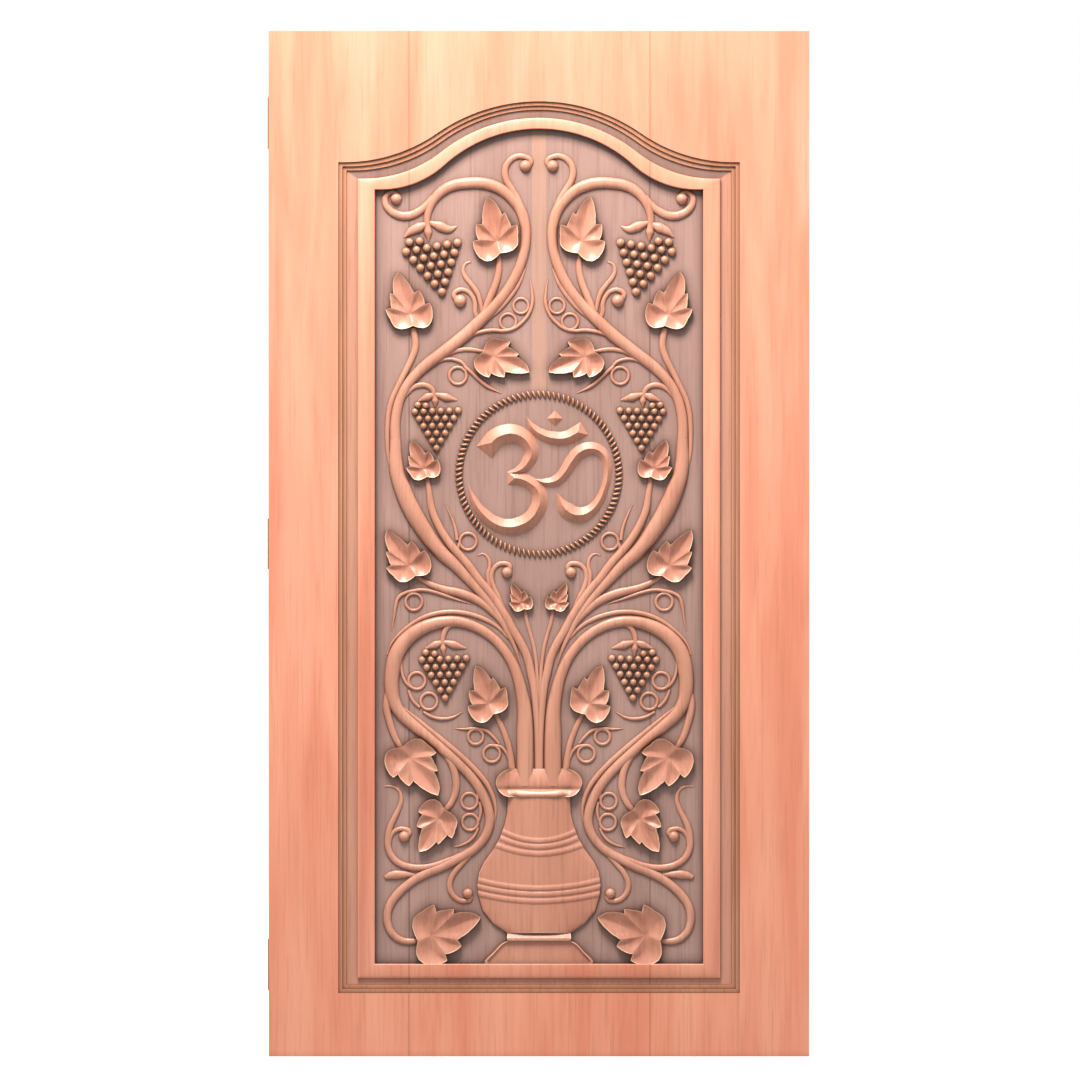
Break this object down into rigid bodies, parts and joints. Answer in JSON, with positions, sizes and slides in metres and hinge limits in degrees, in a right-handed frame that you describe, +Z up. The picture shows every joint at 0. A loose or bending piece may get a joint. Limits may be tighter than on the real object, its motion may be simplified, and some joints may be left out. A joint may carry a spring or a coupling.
{
  "type": "carved temple door",
  "caption": "Framed wooden door leaf with an ogee-arched panel carved in relief with vine scrolls, grapes, a rope ring, a sacred sign and a vase, hung on lift-off hinges.",
  "frame": {"origin": "middle of the leaf's bottom edge, half-way through its thickness", "axes": "+Z up the leaf, +X to the right seen from the carved face, carved face towards -Y"},
  "size_m": [1.074, 0.0545, 2.03],
  "materials": {
    "teak": "satin oiled teak",
    "carved_teak": "satin oiled teak with a stained ground",
    "hinge_brass": "satin"
  },
  "bodies": {
    "jamb": {"lower_hinge_jamb_plate": "hinge_brass", "middle_hinge_jamb_plate": "hinge_brass", "upper_hinge_jamb_plate": "hinge_brass"},
    "leaf": {"hinge_stile": "teak", "lock_stile": "teak", "top_rail": "teak", "bottom_rail": "teak", "carved_panel": "carved_teak", "lower_hinge_leaf_plate": "hinge_brass", "middle_hinge_leaf_plate": "hinge_brass", "upper_hinge_leaf_plate": "hinge_brass"}
  },
  "joints": [
    {"name": "door_swing", "type": "hinge", "parent": "jamb", "child": "leaf", "pos_m": [-0.533, 0.0275, 0], "axis": [0, 0, 1], "range_deg": [0, 170]}
  ]
}
